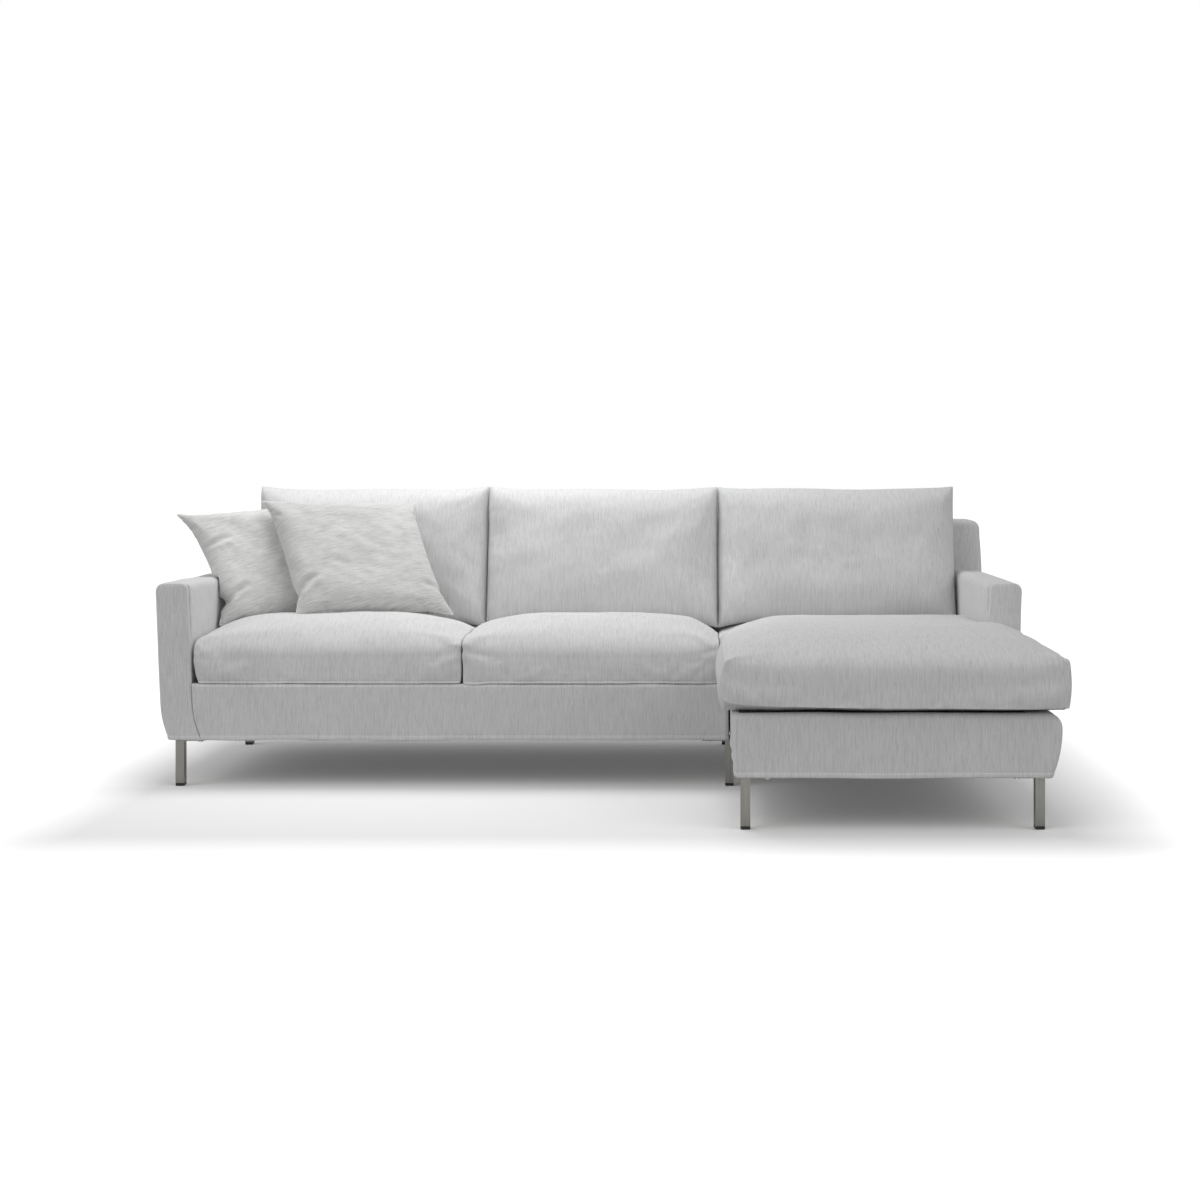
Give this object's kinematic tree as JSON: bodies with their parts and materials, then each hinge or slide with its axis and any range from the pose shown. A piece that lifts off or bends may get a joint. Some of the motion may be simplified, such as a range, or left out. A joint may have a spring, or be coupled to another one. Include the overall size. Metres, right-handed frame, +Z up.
{
  "type": "modular sofa with chaise",
  "caption": "Low upholstered sofa in two modules, a straight seat with an arm and a chaise with an arm, with loose cushions and square steel legs.",
  "frame": {"origin": "on the floor, under the middle of the whole sofa's outer box", "axes": "+X to the right along the sofa as seen from its front, +Y to its rear, +Z up"},
  "size_m": [2.5589, 1.545, 0.8623],
  "materials": {
    "upholstery_fabric": "matt grey-white upholstery cloth with an uneven vertical weave",
    "cushion_fabric": "the same cloth sewn as loose cushion covers",
    "pillow_linen": "matt warm grey linen with thin uneven cross threads",
    "fibre_filling": "white polyester fibre in a thin liner",
    "foam": "pale yellow open-cell foam",
    "deck_felt": "felted pad under plain platform cloth",
    "dust_cover_fabric": "black spun-bonded cloth",
    "timber": "planed softwood and birch plywood, unfinished",
    "spring_steel": "oiled spring wire and bent strip",
    "leg_steel": "satin grey metal",
    "fixing_steel": "zinc-plated",
    "glide_plastic": "black moulded plastic"
  },
  "bodies": {
    "sofa_module": {"sofa_front_rail": "timber", "sofa_rear_rail": "timber", "sofa_short_rails": "timber", "sofa_corner_boards": "timber", "sofa_seat_springs": "spring_steel", "sofa_spring_clips": "spring_steel", "sofa_deck_pad": "deck_felt", "sofa_front_panel": "upholstery_fabric", "sofa_end_panel": "upholstery_fabric", "sofa_dust_cover": "dust_cover_fabric", "sofa_arm_frame": "timber", "sofa_arm_cover": "upholstery_fabric", "sofa_arm_front_panel": "upholstery_fabric", "sofa_back_frame": "timber", "sofa_back_cover": "upholstery_fabric", "leg_sofa_front": "leg_steel", "leg_sofa_rear": "leg_steel", "leg_joint_front": "leg_steel", "leg_joint_rear": "leg_steel", "sofa_leg_glides": "glide_plastic", "sofa_leg_bolts": "fixing_steel", "connector_pins": "fixing_steel"},
    "chaise_module": {"chaise_front_rail": "timber", "chaise_rear_rail": "timber", "chaise_short_rails": "timber", "chaise_corner_boards": "timber", "chaise_seat_springs": "spring_steel", "chaise_spring_clips": "spring_steel", "chaise_deck_pad": "deck_felt", "chaise_front_panel": "upholstery_fabric", "chaise_left_panel": "upholstery_fabric", "chaise_side_frame": "timber", "chaise_side_cover": "upholstery_fabric", "chaise_dust_cover": "dust_cover_fabric", "chaise_arm_frame": "timber", "chaise_arm_cover": "upholstery_fabric", "chaise_arm_front_panel": "upholstery_fabric", "chaise_back_frame": "timber", "chaise_back_cover": "upholstery_fabric", "leg_chaise_front_left": "leg_steel", "leg_chaise_front_right": "leg_steel", "leg_chaise_rear": "leg_steel", "chaise_leg_glides": "glide_plastic", "chaise_leg_bolts": "fixing_steel"},
    "seat_cushion_left_body": {"seat_cushion_left": "cushion_fabric", "seat_foam_left": "foam"},
    "seat_cushion_right_body": {"seat_cushion_right": "cushion_fabric", "seat_foam_right": "foam"},
    "chaise_cushion_body": {"chaise_cushion": "cushion_fabric", "chaise_foam": "foam"},
    "back_cushion_left_body": {"back_cushion_left": "cushion_fabric", "back_insert_left": "fibre_filling"},
    "back_cushion_middle_body": {"back_cushion_middle": "cushion_fabric", "back_insert_middle": "fibre_filling"},
    "back_cushion_right_body": {"back_cushion_right": "cushion_fabric", "back_insert_right": "fibre_filling"},
    "pillow_rear_body": {"pillow_rear": "pillow_linen", "pillow_insert_rear": "fibre_filling"},
    "pillow_front_body": {"pillow_front": "pillow_linen", "pillow_insert_front": "fibre_filling"}
  },
  "joints": [
    {"name": "lift_chaise_module", "type": "slide", "parent": "sofa_module", "child": "chaise_module", "axis": [0, 0, 1], "range_m": [0, 0.06]},
    {"name": "lift_chaise_cushion", "type": "slide", "parent": "chaise_module", "child": "chaise_cushion_body", "axis": [0, 0, 1], "range_m": [0, 0.32]},
    {"name": "lift_back_cushion_right", "type": "slide", "parent": "chaise_cushion_body", "child": "back_cushion_right_body", "axis": [0, 0, 1], "range_m": [0, 0.4]},
    {"name": "lift_seat_cushion_left", "type": "slide", "parent": "sofa_module", "child": "seat_cushion_left_body", "axis": [0, 0, 1], "range_m": [0, 0.32]},
    {"name": "lift_back_cushion_left", "type": "slide", "parent": "seat_cushion_left_body", "child": "back_cushion_left_body", "axis": [0, 0, 1], "range_m": [0, 0.4]},
    {"name": "lift_pillow_rear", "type": "slide", "parent": "back_cushion_left_body", "child": "pillow_rear_body", "axis": [0, 0, 1], "range_m": [0, 0.3]},
    {"name": "lift_pillow_front", "type": "slide", "parent": "pillow_rear_body", "child": "pillow_front_body", "axis": [0, 0, 1], "range_m": [0, 0.3]},
    {"name": "lift_seat_cushion_right", "type": "slide", "parent": "sofa_module", "child": "seat_cushion_right_body", "axis": [0, 0, 1], "range_m": [0, 0.32]},
    {"name": "lift_back_cushion_middle", "type": "slide", "parent": "seat_cushion_right_body", "child": "back_cushion_middle_body", "axis": [0, 0, 1], "range_m": [0, 0.4]}
  ]
}
